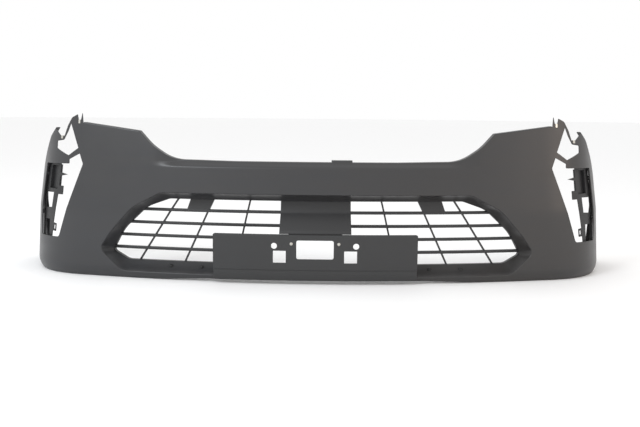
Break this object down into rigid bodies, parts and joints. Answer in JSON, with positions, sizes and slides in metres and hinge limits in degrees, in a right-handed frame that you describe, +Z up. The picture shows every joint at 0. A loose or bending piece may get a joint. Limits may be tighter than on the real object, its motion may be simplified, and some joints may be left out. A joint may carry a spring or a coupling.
{
  "type": "front bumper cover",
  "caption": "Wraparound front bumper cover for a full-size van, with lower grille, number-plate bracket, bezel brackets and fasteners.",
  "frame": {"origin": "centre of the bounding box at the height of the lower edge, on the surface that the cover stands on", "axes": "+Z up, -Y out of the front face towards the road ahead, +X to the right as seen from the front"},
  "size_m": [1.9042, 0.4351, 0.5005],
  "materials": {
    "skin_moulding": "satin unpainted black-grey polypropylene with fine mould texture",
    "grille_moulding": "satin dark grey plastic",
    "bracket_moulding": "matt black-grey grained plastic",
    "retainer_plastic": "black nylon",
    "plated_steel": "zinc-plated steel"
  },
  "bodies": {
    "cover": {"bumper_skin": "skin_moulding", "left_bezel_bracket": "bracket_moulding", "left_bezel_screw_1": "plated_steel", "left_bezel_screw_2": "plated_steel", "left_bezel_screw_3": "plated_steel", "left_inner_spring_nut": "plated_steel", "left_outer_spring_nut": "plated_steel", "left_plate_bracket_screw": "plated_steel", "lower_grille": "grille_moulding", "number_plate_bracket": "bracket_moulding", "retainer_grommet_1": "retainer_plastic", "retainer_grommet_2": "retainer_plastic", "retainer_grommet_3": "retainer_plastic", "retainer_grommet_4": "retainer_plastic", "right_bezel_bracket": "bracket_moulding", "right_bezel_screw_1": "plated_steel", "right_bezel_screw_2": "plated_steel", "right_bezel_screw_3": "plated_steel", "right_inner_spring_nut": "plated_steel", "right_outer_spring_nut": "plated_steel", "right_plate_bracket_screw": "plated_steel"},
    "pin_1": {"retainer_pin_1": "retainer_plastic"},
    "pin_2": {"retainer_pin_2": "retainer_plastic"},
    "pin_3": {"retainer_pin_3": "retainer_plastic"},
    "pin_4": {"retainer_pin_4": "retainer_plastic"}
  },
  "joints": [
    {"name": "retainer_pin_1_slide", "type": "slide", "parent": "cover", "child": "pin_1", "axis": [-0.0737, -0.639, 0.7657], "range_m": [0, 0.006]},
    {"name": "retainer_pin_2_slide", "type": "slide", "parent": "cover", "child": "pin_2", "axis": [-0.0942, -0.6363, 0.7657], "range_m": [0, 0.006]},
    {"name": "retainer_pin_3_slide", "type": "slide", "parent": "cover", "child": "pin_3", "axis": [0.0737, -0.639, 0.7657], "range_m": [0, 0.006]},
    {"name": "retainer_pin_4_slide", "type": "slide", "parent": "cover", "child": "pin_4", "axis": [0.0942, -0.6363, 0.7657], "range_m": [0, 0.006]}
  ]
}
